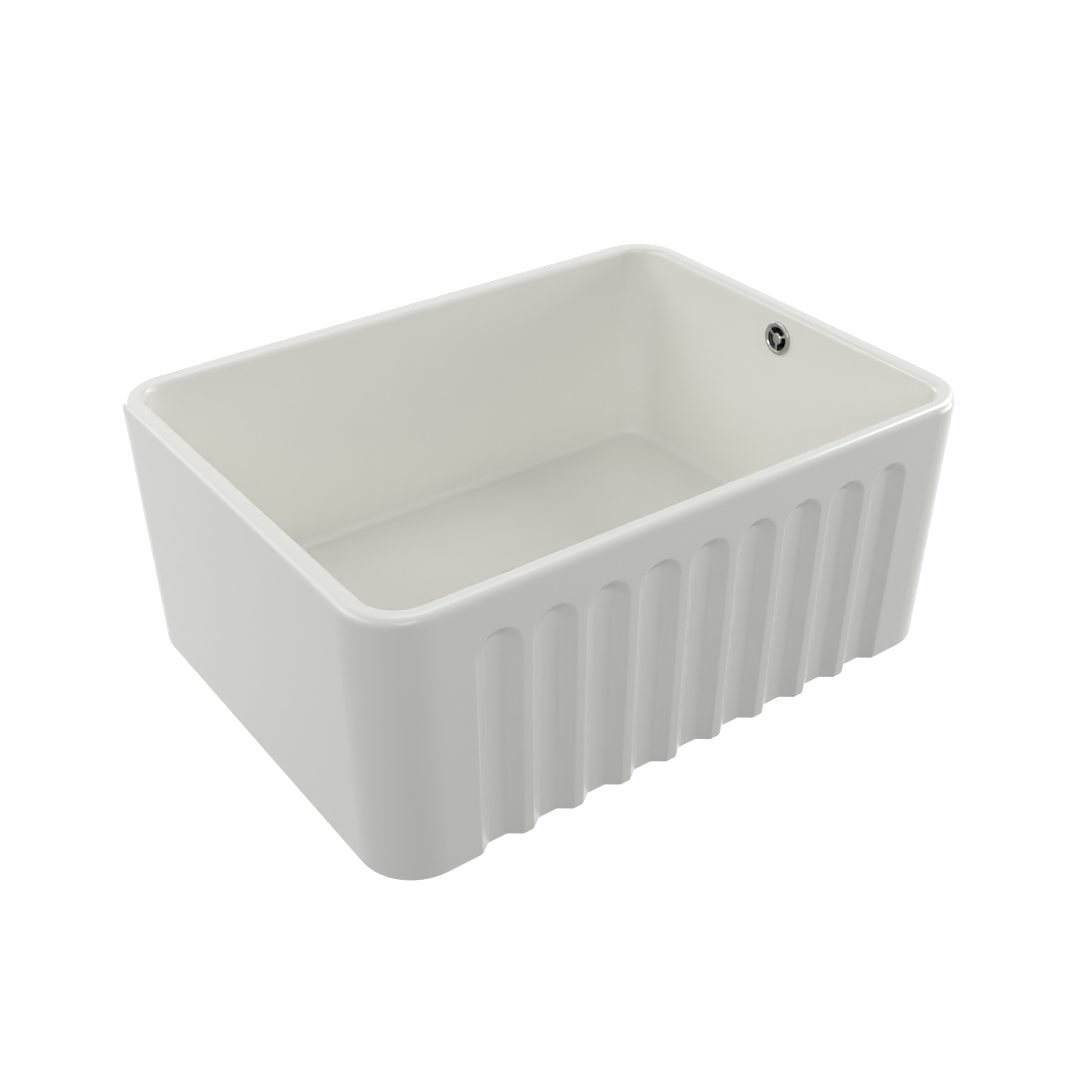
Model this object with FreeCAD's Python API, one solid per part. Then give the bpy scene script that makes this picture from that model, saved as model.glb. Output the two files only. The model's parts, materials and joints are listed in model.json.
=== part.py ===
import FreeCAD, Part
import math
import os

Vec = FreeCAD.Vector

# All lengths are in millimetres. The origin is the centre of the plane the sink stands on,
# +Z is up and the fluted front faces -Y.

# Basin
basin_width = 610.0
basin_depth = 455.0
basin_height = 252.0
corner_radius = 50.0
wall_thickness = 20.0
front_wall_thickness = 17.5
foot_edge_radius = 4.0
rim_outer_radius = 7.0
rim_inner_radius = 6.0
floor_edge_height = 38.0
floor_fall = 5.0
floor_fillet = 8.0
floor_rim_margin = 14.0
dish_radius = 66.0
foot_width = 38.0
underside_recess = 12.0
recess_corner_radius = 16.0
recess_edge_radius = 4.0

# Flutes in the front
flute_count = 9
flute_side_margin = 31.6
flute_land = 7.2
flute_floor_half_width = 8.1
flute_depth = 8.2
flute_lip_radius = 4.5
flute_hollow_radius = 3.5
flute_arch_below_rim = 55.2

# Waste opening in the floor
waste_hole_radius = 45.0
waste_hole_slope = 4.0
seat_radius = 58.0
seat_depth = 2.6

# Strainer cup, its seal and the bolt that draws the waste together
cup_seal_thickness = 1.4
cup_seal_inner_setback = 0.5
cup_seal_outer_setback = 1.5
cup_flange_radius = 56.5
cup_flange_thickness = 1.2
cup_wall = 1.0
cup_mouth_radius = 47.0
cup_mouth_round = 2.0
cup_throat_radius = 43.4
cup_throat_drop = 4.6
cup_throat_round = 4.0
cup_base_radius = 41.0
cup_depth = 47.0
cup_base_round = 5.0
cup_hole_radius = 3.2
cup_hole_ring_radius = 14.0
cup_hole_count = 8
bolt_head_radius = 8.0
bolt_head_thickness = 2.5
bolt_shank_radius = 5.0
bolt_length = 22.0
bolt_socket_radius = 3.5
bolt_socket_depth = 9.0

# Basket that lifts out of the cup, and the plug that slides in it
moving_gap = 0.3
plug_travel = 8.0
basket_sheet = 0.8
basket_rim_radius = 44.6
basket_rim_height = 1.8
basket_top_radius = 40.6
basket_base_radius = 36.0
basket_base_round = 4.0
basket_hub_radius = 6.5
basket_hub_height = 8.0
basket_hole_radius = 1.7
basket_ring_radii = (13.0, 19.5, 26.0)
basket_hole_pitch = 8.17
basket_side_hole_count = 24
basket_side_hole_heights = (8.0, 15.0, 22.0)
stopper_inner_radius = 9.6
stopper_outer_radius = 19.0
stopper_thickness = 3.0
stopper_lower_setback = 1.5
stopper_upper_setback = 0.5
stopper_round = 0.5
post_radius = 3.0
post_running_gap = 0.06
post_plate_radius = 18.0
post_plate_thickness = 1.2
post_pin_length = 6.5
post_pin_round = 1.0
post_ring_radius = 4.8
post_ring_thickness = 1.0
knob_radius = 9.0
knob_neck_radius = 5.0
knob_height = 12.0
knob_cap_height = 4.5
knob_cap_flare = 1.0
knob_neck_round = 1.5
knob_top_round = 2.5
knob_above_floor = 3.5

# Waste body under the floor
body_gasket_thickness = 2.0
body_gasket_inner_radius = 48.0
body_gasket_setback = 1.0
body_flange_radius = 58.0
body_flange_thickness = 4.0
body_wall = 2.6
body_inner_radius = 47.0
body_pot_depth = 44.0
body_neck_round = 1.5
body_shoulder_round = 6.0
body_inside_round = 4.0
body_funnel_drop = 7.0
body_funnel_rise = 1.5
outlet_inner_radius = 19.0
outlet_outer_radius = 23.8
outlet_length = 24.0
outlet_round = 1.0
collar_drop = 3.0
collar_spigot_radius = 21.4
collar_spigot_height = 1.6
hub_inner_radius = 7.0
hub_outer_radius = 10.0
hub_height = 20.0
hub_floor = 1.5
rib_thickness = 3.0
rib_height = 12.0
rib_count = 4
insert_flange_radius = 8.6
insert_flange_thickness = 1.5

# Outlet nut, seal and tailpiece
outlet_seal_thickness = 3.0
outlet_seal_setback = 0.6
tail_flange_radius = 23.4
tail_flange_thickness = 3.0
tail_outer_radius = 20.0
tail_wall = 2.0
tail_length = 82.0
outlet_nut_radius = 28.5
outlet_nut_grip = 2.0
outlet_nut_height = 22.0
outlet_nut_lip = 4.0
outlet_nut_clearance = 1.2
nut_grip_count = 10
nut_edge_round = 1.0
nut_lug_radius = 2.4
nut_lug_setback = 1.5
thread_gap = 0.1

# Overflow in the right wall
overflow_below_rim = 28.5
overflow_hole_radius = 13.0
grille_radius = 16.0
grille_thickness = 2.8
grille_edge_round = 0.9
grille_edge_drop = 0.4
grille_slope_width = 1.8
grille_recess_slope = 0.6
grille_recess_radius = 12.6
grille_recess_depth = 0.9
grille_hub_radius = 4.7
grille_hub_height = 0.7
grille_hub_slope = 0.5
grille_slot_inner_radius = 5.6
grille_slot_outer_radius = 11.8
grille_slot_round = 1.4
grille_spoke_width = 2.3
grille_spoke_count = 3
grille_back_pocket_inner = 13.2
grille_back_pocket_outer = 15.0
front_seal_thickness = 1.0
screw_hole_radius = 2.6
screw_sink_radius = 3.5
screw_sink_depth = 1.4
screw_shank_radius = 2.5
screw_length = 14.0
screw_slot_width = 0.9
screw_slot_depth = 0.7
screw_slot_reach = 2.3
screw_head_rest = 0.2
back_seal_thickness = 1.5
back_seal_outer_radius = 21.0
back_seal_inner_gap = 0.5
elbow_flange_radius = 22.0
elbow_flange_thickness = 3.5
elbow_nose_radius = 12.0
elbow_nose_wall = 2.0
elbow_nose_setback = 1.0
elbow_body_radius = 13.0
elbow_bore_radius = 9.5
elbow_drop = 34.0
elbow_web_thickness = 2.0
elbow_web_length = 10.0
elbow_web_count = 3
screw_insert_radius = 4.4
screw_insert_boss = 1.6

# Overflow pipe and its two joints
pipe_outer_radius = 11.0
pipe_wall = 1.6
pipe_bend_radius = 27.0
pipe_axis_height = -15.0
socket_depth = 12.0
socket_gap = 0.1
socket_end_gap = 0.5
spigot_end_radius = 72.0
spigot_root_depth = 4.0
pipe_ring_thickness = 4.0
pipe_nut_radius = 15.0
pipe_nut_grip = 1.0
pipe_nut_height = 17.0
pipe_nut_lip = 3.0
pipe_nut_clearance = 0.5
pipe_wall_gap = 0.5

# Roundings that several pieces share, and how far a cut runs past the face it opens
hair_round = 0.3
fine_round = 0.6
edge_round = 0.8
sheet_round = 1.0
through_cut = 1.0
same_place = 1e-6

# Heights and radii that follow from the sizes above
half_width = basin_width / 2
half_depth = basin_depth / 2
bowl_width = basin_width - 2 * wall_thickness
bowl_depth = basin_depth - wall_thickness - front_wall_thickness
bowl_middle_y = (front_wall_thickness - wall_thickness) / 2
flute_row_width = basin_width - 2 * (corner_radius + flute_side_margin)
flute_pitch = (flute_row_width + flute_land) / flute_count
flute_half_width = (flute_pitch - flute_land) / 2
flute_flank_width = flute_half_width - flute_floor_half_width
flute_arch_centre_height = basin_height - flute_arch_below_rim
floor_at_waste = floor_edge_height - floor_fall
seat_height = floor_at_waste - seat_depth
cup_flange_bottom = seat_height + cup_seal_thickness
cup_flange_top = cup_flange_bottom + cup_flange_thickness
cup_seal_inner_radius = waste_hole_radius + waste_hole_slope + cup_seal_inner_setback
cup_bottom = cup_flange_top - cup_depth
cup_inside_bottom = cup_bottom + cup_wall
stopper_bottom = cup_inside_bottom + moving_gap
stopper_top = stopper_bottom + stopper_thickness
post_plate_top = stopper_top + post_plate_thickness
basket_bottom = post_plate_top + plug_travel + moving_gap
basket_hub_top = basket_bottom + basket_hub_height
post_ring_bottom = basket_hub_top + moving_gap
post_ring_top = post_ring_bottom + post_ring_thickness
cup_throat = cup_flange_bottom - cup_throat_drop
basket_rim_top = cup_flange_top
basket_rim_bottom = basket_rim_top - basket_rim_height
knob_top = floor_at_waste + knob_above_floor
bolt_head_top = cup_inside_bottom + bolt_head_thickness
bolt_bottom = cup_inside_bottom - bolt_length
body_top = underside_recess - body_gasket_thickness
body_outer_radius = body_inner_radius + body_wall
body_inside_bottom = body_top - body_pot_depth
outlet_top = body_inside_bottom - body_funnel_drop
outlet_bottom = outlet_top - outlet_length
collar_joint = outlet_top - collar_drop
collar_top = collar_joint + collar_spigot_height
hub_bottom = bolt_bottom - hub_floor
tail_flange_bottom = outlet_bottom - outlet_seal_thickness - tail_flange_thickness
tail_bottom = tail_flange_bottom - tail_length
outlet_nut_bottom = tail_flange_bottom - outlet_nut_lip
inner_wall_x = half_width - wall_thickness
overflow_height = basin_height - overflow_below_rim
elbow_seat_x = half_width + back_seal_thickness
elbow_nose_x = inner_wall_x + elbow_nose_setback
elbow_flange_end = elbow_seat_x + elbow_flange_thickness
pipe_axis_x = half_width + pipe_wall_gap + pipe_nut_radius + pipe_nut_grip
pipe_inner_radius = pipe_outer_radius - pipe_wall
socket_radius = pipe_outer_radius + socket_gap
elbow_bottom = overflow_height - elbow_drop
pipe_top = elbow_bottom + socket_depth - socket_end_gap
pipe_start_x = spigot_end_radius - socket_depth + socket_end_gap


def box(x0, x1, y0, y1, z0, z1):
    return Part.makeBox(x1 - x0, y1 - y0, z1 - z0, Vec(x0, y0, z0))


def cylinder(radius, start, direction, length):
    return Part.makeCylinder(radius, length, start, direction)


def upright(radius, z0, z1, x=0.0, y=0.0):
    return cylinder(radius, Vec(x, y, z0), Vec(0, 0, 1), z1 - z0)


def along_x(radius, x0, x1, z, y=0.0):
    return cylinder(radius, Vec(x0, y, z), Vec(1, 0, 0), x1 - x0)


def tube(outer, inner, z0, z1):
    return upright(outer, z0, z1).cut(upright(inner, z0 - 1, z1 + 1))


def tube_x(outer, inner, x0, x1, z):
    return along_x(outer, x0, x1, z).cut(along_x(inner, x0 - 1, x1 + 1, z))


def plain_block(width, depth, radius, z0, z1):
    block = box(-width / 2, width / 2, -depth / 2, depth / 2, z0, z1)
    corners = [e for e in block.Edges if is_upright(e)]
    return block.makeFillet(radius, corners)


def is_upright(edge):
    a, b = [v.Point for v in edge.Vertexes]
    return abs(a.x - b.x) < same_place and abs(a.y - b.y) < same_place


def edges_at(shape, z):
    return [e for e in shape.Edges if all(abs(v.Z - z) < same_place for v in e.Vertexes)]


def toward(start, end, length):
    step = Vec(end).sub(start)
    step.normalize()
    return Vec(start).add(step.multiply(length))


def rounded_wire(corners):
    """A closed wire through (radius, height, rounding) corners in the XZ plane."""
    points = [Vec(r, 0, z) for r, z, _ in corners]
    count = len(points)
    joins = []
    for i, (_, _, rounding) in enumerate(corners):
        here = points[i]
        back = points[i - 1]
        ahead = points[(i + 1) % count]
        if rounding <= 0:
            joins.append((here, None, here))
            continue
        opening = Vec(back).sub(here).getAngle(Vec(ahead).sub(here))
        reach = rounding / math.tan(opening / 2)
        first = toward(here, back, reach)
        last = toward(here, ahead, reach)
        chord_middle = Vec(first).add(last).multiply(0.5)
        middle = toward(here, chord_middle, rounding / math.sin(opening / 2) - rounding)
        joins.append((first, middle, last))
    edges = []
    for i, (first, middle, last) in enumerate(joins):
        if middle is not None:
            edges.append(Part.Arc(first, middle, last).toShape())
        following = joins[(i + 1) % count][0]
        if last.distanceToPoint(following) > same_place:
            edges.append(Part.makeLine(last, following))
    return Part.Wire(edges)


def turned(corners):
    """A solid turned about the vertical axis from (radius, height, rounding) corners."""
    return Part.Face(rounded_wire(corners)).revolve(Vec(0, 0, 0), Vec(0, 0, 1), 360)


def ring_of(shape_at, count, first=0.0):
    return [shape_at(first + 360.0 * i / count) for i in range(count)]


def polar(radius, degrees):
    turn = math.radians(degrees)
    return radius * math.cos(turn), radius * math.sin(turn)


def grip_nut(outer, grip, bore, lip_bore, height, lip):
    """A moulded nut standing on z = 0, its lip at the bottom and grips round it."""
    nut = upright(outer, 0, height)
    nut = nut.makeFillet(nut_edge_round, edges_at(nut, 0) + edges_at(nut, height))

    def lug(angle):
        x, y = polar(outer + grip - nut_lug_radius, angle)
        return upright(nut_lug_radius, nut_lug_setback, height - nut_lug_setback, x, y)

    for piece in ring_of(lug, nut_grip_count):
        nut = nut.fuse(piece)
    nut = nut.cut(upright(bore, lip, height + through_cut))
    return nut.cut(upright(lip_bore, -through_cut, lip + through_cut))


# Basin

# The straight of a flank touches both its arcs, so its length and slope follow from them.
flank_bend = flute_lip_radius + flute_hollow_radius
flank_rise = flute_depth - flank_bend
flank_straight = math.sqrt(flute_flank_width**2 + flank_rise**2 - flank_bend**2)
flank_turn = math.atan2(flank_rise, flute_flank_width) + math.atan2(flank_bend, flank_straight)


def flank_points(side):
    """Points of one flank from the face to the flute's floor, as (across, depth)."""
    lip_middle = flute_half_width
    hollow_middle = flute_floor_half_width
    points = []
    for angle in (0, flank_turn / 2, flank_turn):
        across = lip_middle - flute_lip_radius * math.sin(angle)
        points.append((side * across, flute_lip_radius * (1 - math.cos(angle))))
    for angle in (flank_turn, flank_turn / 2, 0):
        across = hollow_middle + flute_hollow_radius * math.sin(angle)
        points.append((side * across, flute_depth - flute_hollow_radius * (1 - math.cos(angle))))
    return points


def flank_edges(points):
    """An arc, the straight and the other arc, through the six points of a flank."""
    return [
        Part.Arc(points[0], points[1], points[2]).toShape(),
        Part.makeLine(points[2], points[3]),
        Part.Arc(points[3], points[4], points[5]).toShape(),
    ]


def on_front(centre, across, depth, z):
    return Vec(centre + across, -half_depth + depth, z)


def front_edges():
    """Edges of the fluted front on z = 0, from left to right."""
    edges = []
    reached = Vec(-half_width + corner_radius, -half_depth, 0)
    for i in range(flute_count):
        centre = (i - (flute_count - 1) / 2) * flute_pitch
        left = [on_front(centre, a, d, 0) for a, d in flank_points(-1)]
        right = [on_front(centre, a, d, 0) for a, d in reversed(flank_points(1))]
        edges.append(Part.makeLine(reached, left[0]))
        edges.extend(flank_edges(left))
        edges.append(Part.makeLine(left[-1], right[0]))
        edges.extend(flank_edges(right))
        reached = right[-1]
    last = Vec(half_width - corner_radius, -half_depth, 0)
    edges.append(Part.makeLine(reached, last))
    return edges


def corner_arc(x_side, y_side, start_on_x):
    cx = x_side * (half_width - corner_radius)
    cy = y_side * (half_depth - corner_radius)
    reach = corner_radius * math.sqrt(0.5)
    on_y_face = Vec(cx, cy + y_side * corner_radius, 0)
    on_x_face = Vec(cx + x_side * corner_radius, cy, 0)
    middle = Vec(cx + x_side * reach, cy + y_side * reach, 0)
    if start_on_x:
        return Part.Arc(on_x_face, middle, on_y_face).toShape()
    return Part.Arc(on_y_face, middle, on_x_face).toShape()


def fluted_outline():
    edges = front_edges()
    inner_x = half_width - corner_radius
    inner_y = half_depth - corner_radius
    edges.append(corner_arc(1, -1, False))
    edges.append(Part.makeLine(Vec(half_width, -inner_y, 0), Vec(half_width, inner_y, 0)))
    edges.append(corner_arc(1, 1, True))
    edges.append(Part.makeLine(Vec(inner_x, half_depth, 0), Vec(-inner_x, half_depth, 0)))
    edges.append(corner_arc(-1, 1, False))
    edges.append(Part.makeLine(Vec(-half_width, inner_y, 0), Vec(-half_width, -inner_y, 0)))
    edges.append(corner_arc(-1, -1, True))
    return Part.Wire(edges)


def arch_cutter(centre):
    """The rounded top of one flute: half of its section turned about the arch's centre."""
    z = flute_arch_centre_height
    flank = [on_front(centre, a, d, z) for a, d in flank_points(1)]
    outside_middle = on_front(centre, 0, -flute_depth, z)
    outside_edge = on_front(centre, flute_half_width, -flute_depth, z)
    floor_middle = on_front(centre, 0, flute_depth, z)
    section = Part.Wire(
        [
            Part.makeLine(outside_middle, outside_edge),
            Part.makeLine(outside_edge, flank[0]),
            *flank_edges(flank),
            Part.makeLine(flank[-1], floor_middle),
            Part.makeLine(floor_middle, outside_middle),
        ]
    )
    return Part.Face(section).revolve(Vec(centre, 0, z), Vec(0, -1, 0), 180)


def basin_outside():
    lower = Part.Face(fluted_outline()).extrude(Vec(0, 0, flute_arch_centre_height))
    upper = plain_block(
        basin_width, basin_depth, corner_radius, flute_arch_centre_height, basin_height
    )
    for i in range(flute_count):
        upper = upper.cut(arch_cutter((i - (flute_count - 1) / 2) * flute_pitch))
    outside = lower.fuse(upper).removeSplitter()
    outside = outside.makeFillet(foot_edge_radius, edges_at(outside, 0))
    return outside.makeFillet(rim_outer_radius, edges_at(outside, basin_height))


def bowl_space():
    """The space inside the walls, down to the edge of the floor."""
    inner_corner = corner_radius - wall_thickness
    space = plain_block(bowl_width, bowl_depth, inner_corner, floor_edge_height, basin_height)
    space = space.makeFillet(floor_fillet, edges_at(space, floor_edge_height))
    space.translate(Vec(0, bowl_middle_y, 0))
    return space


def rounded_rectangle(width, depth, radius, z):
    x = width / 2 - radius
    y = depth / 2 - radius
    reach = radius * math.sqrt(0.5)
    edges = []
    for sx, sy, turn in ((1, 1, 0), (-1, 1, 1), (-1, -1, 0), (1, -1, 1)):
        on_x = Vec(sx * (x + radius), sy * y, z)
        on_y = Vec(sx * x, sy * (y + radius), z)
        middle = Vec(sx * (x + reach), sy * (y + reach), z)
        first, last = (on_y, on_x) if turn else (on_x, on_y)
        edges.append(Part.Arc(first, middle, last).toShape())
        if turn == 0:
            edges.append(Part.makeLine(last, Vec(-sx * x, sy * (y + radius), z)))
        else:
            edges.append(Part.makeLine(last, Vec(sx * (x + radius), -sy * y, z)))
    return Part.Wire(edges)


def split_circle(radius, z, wire):
    """A circle in eight arcs that face the eight edges of the rounded rectangle."""
    ends = [e.Vertexes[0].Point if e.Orientation == "Forward" else e.Vertexes[-1].Point
            for e in wire.OrderedEdges]
    angles = [math.atan2(p.y, p.x) for p in ends]
    edges = []
    for i, start in enumerate(angles):
        end = angles[(i + 1) % len(angles)]
        while end <= start:
            end += 2 * math.pi
        spots = [start, (start + end) / 2, end]
        points = [Vec(radius * math.cos(t), radius * math.sin(t), z) for t in spots]
        edges.append(Part.Arc(*points).toShape())
    return Part.Wire(edges)


def floor_dish():
    """The shallow fall from the floor's edge down to the waste."""
    outer = rounded_rectangle(
        bowl_width - 2 * floor_rim_margin,
        bowl_depth - 2 * floor_rim_margin,
        corner_radius - wall_thickness,
        floor_edge_height,
    )
    outer.translate(Vec(0, bowl_middle_y, 0))
    inner = split_circle(dish_radius, floor_at_waste, outer)
    return Part.makeLoft([inner, outer], True, True)


def waste_hole_edge():
    """The sloped edge that leads from the seat down into the waste hole."""
    return Part.makeCone(
        waste_hole_radius,
        waste_hole_radius + waste_hole_slope,
        waste_hole_slope,
        Vec(0, 0, seat_height - waste_hole_slope),
    )


def make_basin():
    basin = basin_outside()
    basin = basin.cut(bowl_space())
    inner_rim = [
        e for e in edges_at(basin, basin_height)
        if abs(e.BoundBox.Center.x) < half_width - wall_thickness / 2
        and abs(e.BoundBox.Center.y) < half_depth - wall_thickness / 2
    ]
    basin = basin.makeFillet(rim_inner_radius, inner_rim)
    basin = basin.cut(floor_dish())
    recess = plain_block(
        basin_width - 2 * foot_width,
        basin_depth - 2 * foot_width,
        recess_corner_radius,
        -through_cut,
        underside_recess,
    )
    recess = recess.makeFillet(recess_edge_radius, edges_at(recess, underside_recess))
    basin = basin.cut(recess)
    basin = basin.cut(upright(waste_hole_radius, 0, floor_edge_height))
    basin = basin.cut(waste_hole_edge())
    basin = basin.cut(upright(seat_radius, seat_height, floor_edge_height))
    start = inner_wall_x - through_cut
    end = half_width + through_cut
    return basin.cut(along_x(overflow_hole_radius, start, end, overflow_height))


# Strainer waste


def make_cup_seal():
    return tube(
        cup_flange_radius - cup_seal_outer_setback,
        cup_seal_inner_radius,
        seat_height,
        cup_flange_bottom,
    )


def make_strainer_cup():
    wall = cup_wall
    cup = turned(
        [
            (cup_flange_radius, cup_flange_bottom, hair_round),
            (cup_flange_radius, cup_flange_top, fine_round),
            (cup_mouth_radius - wall, cup_flange_top, cup_mouth_round),
            (cup_throat_radius - wall, cup_throat, cup_throat_round),
            (cup_base_radius - wall, cup_inside_bottom, cup_base_round - wall),
            (0, cup_inside_bottom, 0),
            (0, cup_bottom, 0),
            (cup_base_radius, cup_bottom, cup_base_round),
            (cup_throat_radius, cup_throat, cup_throat_round + wall),
            (cup_mouth_radius, cup_flange_bottom, cup_mouth_round - wall),
        ]
    )
    start = cup_bottom - through_cut
    end = cup_inside_bottom + through_cut
    cup = cup.cut(upright(bolt_shank_radius, start, end))

    def hole(angle):
        x, y = polar(cup_hole_ring_radius, angle)
        return upright(cup_hole_radius, start, end, x, y)

    return cup.cut(ring_of(hole, cup_hole_count))


def make_clamp_bolt():
    bolt = turned(
        [
            (0, bolt_head_top, 0),
            (bolt_head_radius, bolt_head_top, edge_round),
            (bolt_head_radius, cup_inside_bottom, 0),
            (bolt_shank_radius, cup_inside_bottom, 0),
            (bolt_shank_radius, bolt_bottom, edge_round),
            (0, bolt_bottom, 0),
        ]
    )
    start = bolt_head_top - bolt_socket_depth
    end = bolt_head_top + through_cut
    return bolt.cut(upright(bolt_socket_radius, start, end))


def make_body_gasket():
    return tube(
        body_flange_radius - body_gasket_setback,
        body_gasket_inner_radius,
        body_top,
        underside_recess,
    )


def make_waste_body():
    funnel_outer = outlet_top + body_funnel_rise
    pot = turned(
        [
            (body_inner_radius, body_top, 0),
            (body_flange_radius, body_top, fine_round),
            (body_flange_radius, body_top - body_flange_thickness, fine_round),
            (body_outer_radius, body_top - body_flange_thickness, body_neck_round),
            (body_outer_radius, body_inside_bottom - body_wall, body_shoulder_round),
            (outlet_outer_radius, funnel_outer - body_wall, outlet_round),
            (outlet_outer_radius, collar_joint, 0),
            (collar_spigot_radius, collar_joint, 0),
            (collar_spigot_radius, collar_top, 0),
            (outlet_inner_radius, collar_top, 0),
            (outlet_inner_radius, outlet_top, outlet_round),
            (body_inner_radius, body_inside_bottom, body_inside_round),
        ]
    )
    pot = pot.fuse(upright(hub_outer_radius, hub_bottom, hub_bottom + hub_height))

    def rib(angle):
        bar = box(
            0,
            body_inner_radius + body_wall / 2,
            -rib_thickness / 2,
            rib_thickness / 2,
            hub_bottom,
            hub_bottom + rib_height,
        )
        bar.rotate(Vec(0, 0, 0), Vec(0, 0, 1), angle)
        return bar

    for bar in ring_of(rib, rib_count, 45.0):
        pot = pot.fuse(bar)
    spigot_x = body_inner_radius + body_wall / 2
    pot = pot.fuse(along_x(elbow_body_radius, spigot_x, spigot_end_radius, pipe_axis_height))
    root_x = body_inner_radius - spigot_root_depth
    socket_x = spigot_end_radius - socket_depth
    end_x = spigot_end_radius + through_cut
    pot = pot.cut(along_x(elbow_bore_radius, root_x, end_x, pipe_axis_height))
    pot = pot.cut(along_x(socket_radius, socket_x, end_x, pipe_axis_height))
    top = hub_bottom + hub_height + through_cut
    pot = pot.cut(upright(hub_inner_radius, hub_bottom - through_cut, top))
    return pot.cut(insert_flange_space())


def make_outlet_collar():
    """The threaded outlet, whose short spigot is welded into the waste body."""
    return turned(
        [
            (outlet_inner_radius, outlet_bottom, 0),
            (outlet_outer_radius, outlet_bottom, edge_round),
            (outlet_outer_radius, collar_joint, 0),
            (collar_spigot_radius, collar_joint, 0),
            (collar_spigot_radius, collar_top, 0),
            (outlet_inner_radius, collar_top, 0),
        ]
    )


def insert_flange_space():
    top = hub_bottom + insert_flange_thickness
    return upright(insert_flange_radius, hub_bottom - through_cut, top)


def make_body_insert():
    top = hub_bottom + hub_height
    insert = upright(hub_inner_radius, hub_bottom, top)
    flange_top = hub_bottom + insert_flange_thickness
    insert = insert.fuse(upright(insert_flange_radius, hub_bottom, flange_top))
    return insert.cut(upright(bolt_shank_radius, hub_bottom - through_cut, top + through_cut))


def make_outlet_seal():
    return tube(
        outlet_outer_radius - outlet_seal_setback,
        outlet_inner_radius,
        outlet_bottom - outlet_seal_thickness,
        outlet_bottom,
    )


def make_tailpiece():
    top = outlet_bottom - outlet_seal_thickness
    return turned(
        [
            (tail_outer_radius - tail_wall, top, fine_round),
            (tail_flange_radius, top, fine_round),
            (tail_flange_radius, tail_flange_bottom, fine_round),
            (tail_outer_radius, tail_flange_bottom, sheet_round),
            (tail_outer_radius, tail_bottom, edge_round),
            (tail_outer_radius - tail_wall, tail_bottom, hair_round),
        ]
    )


def make_outlet_nut():
    nut = grip_nut(
        outlet_nut_radius,
        outlet_nut_grip,
        outlet_outer_radius + thread_gap,
        tail_outer_radius + outlet_nut_clearance,
        outlet_nut_height,
        outlet_nut_lip,
    )
    nut.translate(Vec(0, 0, outlet_nut_bottom))
    return nut


# Basket


def make_basket():
    sheet = basket_sheet
    hub_bore = post_radius + post_running_gap
    basket = turned(
        [
            (basket_rim_radius, basket_rim_bottom, hair_round),
            (basket_rim_radius, basket_rim_top, edge_round),
            (basket_top_radius - sheet, basket_rim_top, sheet_round),
            (basket_base_radius - sheet, basket_bottom + sheet, basket_base_round - sheet),
            (basket_hub_radius, basket_bottom + sheet, sheet_round),
            (basket_hub_radius, basket_hub_top, fine_round),
            (hub_bore, basket_hub_top, 0),
            (hub_bore, basket_bottom, 0),
            (basket_base_radius, basket_bottom, basket_base_round),
            (basket_top_radius, basket_rim_bottom, hair_round),
        ]
    )
    return basket.cut(base_holes() + side_holes())


def base_holes():
    low = basket_bottom - through_cut
    high = basket_bottom + basket_sheet + through_cut
    holes = []
    for radius in basket_ring_radii:
        count = round(2 * math.pi * radius / basket_hole_pitch)
        for i in range(count):
            x, y = polar(radius, 360.0 * i / count)
            holes.append(upright(basket_hole_radius, low, high, x, y))
    return holes


def side_holes():
    inside = basket_base_radius - basket_base_round
    length = basket_top_radius + through_cut - inside
    holes = []
    for row, height in enumerate(basket_side_hole_heights):
        half_step = (row % 2) / 2
        for i in range(basket_side_hole_count):
            angle = 360.0 * (i + half_step) / basket_side_hole_count
            x, y = polar(inside, angle)
            start = Vec(x, y, basket_bottom + height)
            holes.append(cylinder(basket_hole_radius, start, Vec(x, y, 0), length))
    return holes


def make_post():
    """The plug's post, with the pin below and the plate that carries the stopper."""
    return turned(
        [
            (0, stopper_top - post_pin_length, 0),
            (post_radius, stopper_top - post_pin_length, post_pin_round),
            (post_radius, stopper_top, 0),
            (post_plate_radius, stopper_top, 0),
            (post_plate_radius, post_plate_top, hair_round),
            (post_radius, post_plate_top, 0),
            (post_radius, knob_top - knob_cap_height, 0),
            (0, knob_top - knob_cap_height, 0),
        ]
    )


def make_post_ring():
    return tube(post_ring_radius, post_radius, post_ring_bottom, post_ring_top)


def make_knob():
    bottom = knob_top - knob_height
    cap_bottom = knob_top - knob_cap_height
    return turned(
        [
            (0, cap_bottom, 0),
            (post_radius, cap_bottom, 0),
            (post_radius, bottom, 0),
            (knob_neck_radius, bottom, edge_round),
            (knob_neck_radius, cap_bottom - knob_cap_flare, knob_neck_round),
            (knob_radius, cap_bottom, sheet_round),
            (knob_radius, knob_top, knob_top_round),
            (0, knob_top, 0),
        ]
    )


def make_stopper():
    return turned(
        [
            (stopper_inner_radius, stopper_bottom, 0),
            (stopper_outer_radius - stopper_lower_setback, stopper_bottom, stopper_round),
            (stopper_outer_radius, stopper_bottom + stopper_thickness / 2, stopper_round),
            (stopper_outer_radius - stopper_upper_setback, stopper_top, stopper_round),
            (stopper_inner_radius, stopper_top, 0),
        ]
    )


# Overflow


def kidney_slot(middle_angle):
    """One slot of the grille, as a solid running through it along X."""
    ring = tube_x(
        grille_slot_outer_radius,
        grille_slot_inner_radius,
        inner_wall_x - 2 * grille_thickness,
        inner_wall_x + through_cut,
        0.0,
    )
    for side in (-1, 1):
        ring = ring.cut(spoke_side(middle_angle + side * 180.0 / grille_spoke_count, side))
    corners = [e for e in ring.Edges if runs_along_x(e)]
    return ring.makeFillet(grille_slot_round, corners)


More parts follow.
